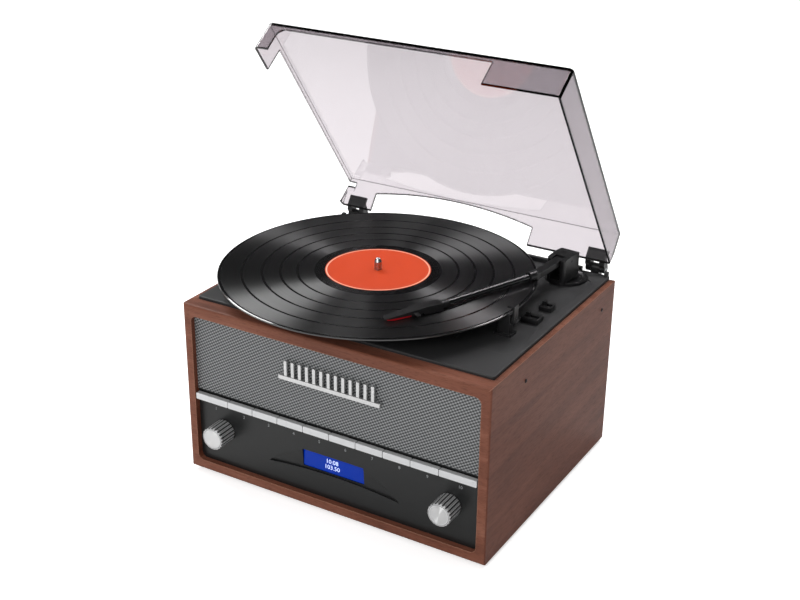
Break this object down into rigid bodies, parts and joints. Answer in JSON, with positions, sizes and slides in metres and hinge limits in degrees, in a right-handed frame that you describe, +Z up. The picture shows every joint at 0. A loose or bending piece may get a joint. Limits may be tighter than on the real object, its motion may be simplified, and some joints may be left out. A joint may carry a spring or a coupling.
{
  "type": "stereo music centre",
  "caption": "Record player and radio in a wooden cabinet, with a silver grille, bar keys, two knobs, a tonearm and a hinged smoked lid.",
  "frame": {"origin": "middle of the cabinet footprint, on the surface that the feet stand on", "axes": "+Z up, +X to the right seen from the front, the front faces -Y"},
  "size_m": [0.334, 0.3111, 0.414],
  "materials": {
    "walnut_veneer": "satin dark walnut veneer",
    "fibreboard": "raw fibreboard",
    "black_plastic": "fine grain",
    "foot_rubber": "matt",
    "deck_plastic": "fine grain",
    "silver_grille": "fine woven pattern, silver grey",
    "chrome_badge": "polished",
    "panel_plastic": "satin",
    "circuit_board": "solder mask",
    "blue_window": "clear window over a lit blue display",
    "steel": "plain",
    "silver_button": "silver coated",
    "knob_aluminium": "knurled",
    "cap_aluminium": "spun",
    "speaker_steel": "black paint",
    "speaker_paper": "pulp",
    "brass": "turned",
    "platter_metal": "black paint",
    "mat_rubber": "matt",
    "vinyl": "grooved, glossy",
    "label_paper": "orange printed paper",
    "belt_rubber": "matt",
    "arm_plastic": "satin",
    "black_tube": "black anodised",
    "red_plastic": "moulded",
    "smoked_acrylic": "clear, smoked",
    "hinge_plastic": "satin"
  },
  "bodies": {
    "case": {"cabinet": "walnut_veneer", "bottom_board": "fibreboard", "back_panel": "black_plastic", "feet": "foot_rubber", "deck_plate": "deck_plastic", "grille": "silver_grille", "baffle_board": "fibreboard", "badge": "chrome_badge", "control_panel": "panel_plastic", "control_board": "circuit_board", "display_window": "blue_window", "display_module": "steel", "encoders": "steel", "speaker_frames": "speaker_steel", "speaker_cones": "speaker_paper", "main_board": "circuit_board", "rear_sockets": "brass", "bearing_bush": "brass", "motor": "steel", "drive_belt": "belt_rubber", "arm_base": "arm_plastic", "arm_rest": "arm_plastic", "switch_covers": "arm_plastic", "hinge_brackets": "hinge_plastic", "hinge_pins": "steel"},
    "platter": {"platter": "platter_metal", "platter_mat": "mat_rubber", "spindle": "steel", "record": "vinyl", "record_label": "label_paper"},
    "pulley": {"motor_pulley": "brass"},
    "arm_turret": {"arm_housing": "arm_plastic", "lift_pin": "steel"},
    "arm": {"arm_carrier": "arm_plastic", "arm_tube": "black_tube", "headshell": "arm_plastic", "cartridge": "arm_plastic", "stylus_holder": "red_plastic"},
    "rest_clip": {"arm_clip": "arm_plastic"},
    "speed_switch": {"speed_lever": "arm_plastic"},
    "stop_switch": {"stop_lever": "arm_plastic"},
    "lid": {"lid": "smoked_acrylic", "hinge_leaves": "hinge_plastic"},
    "volume_control": {"volume_knob": "knob_aluminium", "volume_cap": "cap_aluminium", "volume_shaft": "steel"},
    "tuning_control": {"tuning_knob": "knob_aluminium", "tuning_cap": "cap_aluminium", "tuning_shaft": "steel"},
    "key_1": {"button_1": "silver_button"},
    "key_2": {"button_2": "silver_button"},
    "key_3": {"button_3": "silver_button"},
    "key_4": {"button_4": "silver_button"},
    "key_5": {"button_5": "silver_button"},
    "key_6": {"button_6": "silver_button"},
    "key_7": {"button_7": "silver_button"},
    "key_8": {"button_8": "silver_button"},
    "key_9": {"button_9": "silver_button"},
    "key_10": {"button_10": "silver_button"}
  },
  "joints": [
    {"name": "platter_spin", "type": "hinge", "parent": "case", "child": "platter", "pos_m": [-0.0223, -0.0111, 0.1813], "axis": [0, 0, 1], "continuous": true},
    {"name": "pulley_spin", "type": "hinge", "parent": "case", "child": "pulley", "pos_m": [-0.0824, -0.0712, 0.1813], "axis": [0, 0, 1], "continuous": true},
    {"name": "arm_swing", "type": "hinge", "parent": "case", "child": "arm_turret", "pos_m": [0.1193, 0.1065, 0.1813], "axis": [0, 0, 1], "range_deg": [-18, 18.9]},
    {"name": "arm_lift", "type": "hinge", "parent": "arm_turret", "child": "arm", "pos_m": [0.11845, 0.09754, 0.2039], "axis": [-0.9956, 0.0941, 0], "range_deg": [0, 8]},
    {"name": "clip_hinge", "type": "hinge", "parent": "case", "child": "rest_clip", "pos_m": [0.1336, -0.035, 0.1948], "axis": [0, 1, 0], "range_deg": [0, 40]},
    {"name": "speed_slide", "type": "slide", "parent": "case", "child": "speed_switch", "axis": [1, 0, 0], "range_m": [0, 0.008]},
    {"name": "stop_slide", "type": "slide", "parent": "case", "child": "stop_switch", "axis": [1, 0, 0], "range_m": [0, 0.005]},
    {"name": "lid_hinge", "type": "hinge", "parent": "case", "child": "lid", "pos_m": [0, 0.137, 0.1849], "axis": [-1, 0, 0], "range_deg": [-54, 0]},
    {"name": "volume_turn", "type": "hinge", "parent": "case", "child": "volume_control", "pos_m": [-0.1225, -0.1365, 0.0516], "axis": [0, -1, 0], "continuous": true},
    {"name": "tuning_turn", "type": "hinge", "parent": "case", "child": "tuning_control", "pos_m": [0.1225, -0.1365, 0.0516], "axis": [0, -1, 0], "continuous": true},
    {"name": "key_1_press", "type": "slide", "parent": "case", "child": "key_1", "axis": [0, 1, 0], "range_m": [0, 0.001], "stiffness_N_per_m": 800},
    {"name": "key_2_press", "type": "slide", "parent": "case", "child": "key_2", "axis": [0, 1, 0], "range_m": [0, 0.001], "stiffness_N_per_m": 800},
    {"name": "key_3_press", "type": "slide", "parent": "case", "child": "key_3", "axis": [0, 1, 0], "range_m": [0, 0.001], "stiffness_N_per_m": 800},
    {"name": "key_4_press", "type": "slide", "parent": "case", "child": "key_4", "axis": [0, 1, 0], "range_m": [0, 0.001], "stiffness_N_per_m": 800},
    {"name": "key_5_press", "type": "slide", "parent": "case", "child": "key_5", "axis": [0, 1, 0], "range_m": [0, 0.001], "stiffness_N_per_m": 800},
    {"name": "key_6_press", "type": "slide", "parent": "case", "child": "key_6", "axis": [0, 1, 0], "range_m": [0, 0.001], "stiffness_N_per_m": 800},
    {"name": "key_7_press", "type": "slide", "parent": "case", "child": "key_7", "axis": [0, 1, 0], "range_m": [0, 0.001], "stiffness_N_per_m": 800},
    {"name": "key_8_press", "type": "slide", "parent": "case", "child": "key_8", "axis": [0, 1, 0], "range_m": [0, 0.001], "stiffness_N_per_m": 800},
    {"name": "key_9_press", "type": "slide", "parent": "case", "child": "key_9", "axis": [0, 1, 0], "range_m": [0, 0.001], "stiffness_N_per_m": 800},
    {"name": "key_10_press", "type": "slide", "parent": "case", "child": "key_10", "axis": [0, 1, 0], "range_m": [0, 0.001], "stiffness_N_per_m": 800}
  ],
  "couplings": [
    {"joint": "pulley_spin", "follows": "platter_spin", "ratio": 14.8}
  ]
}
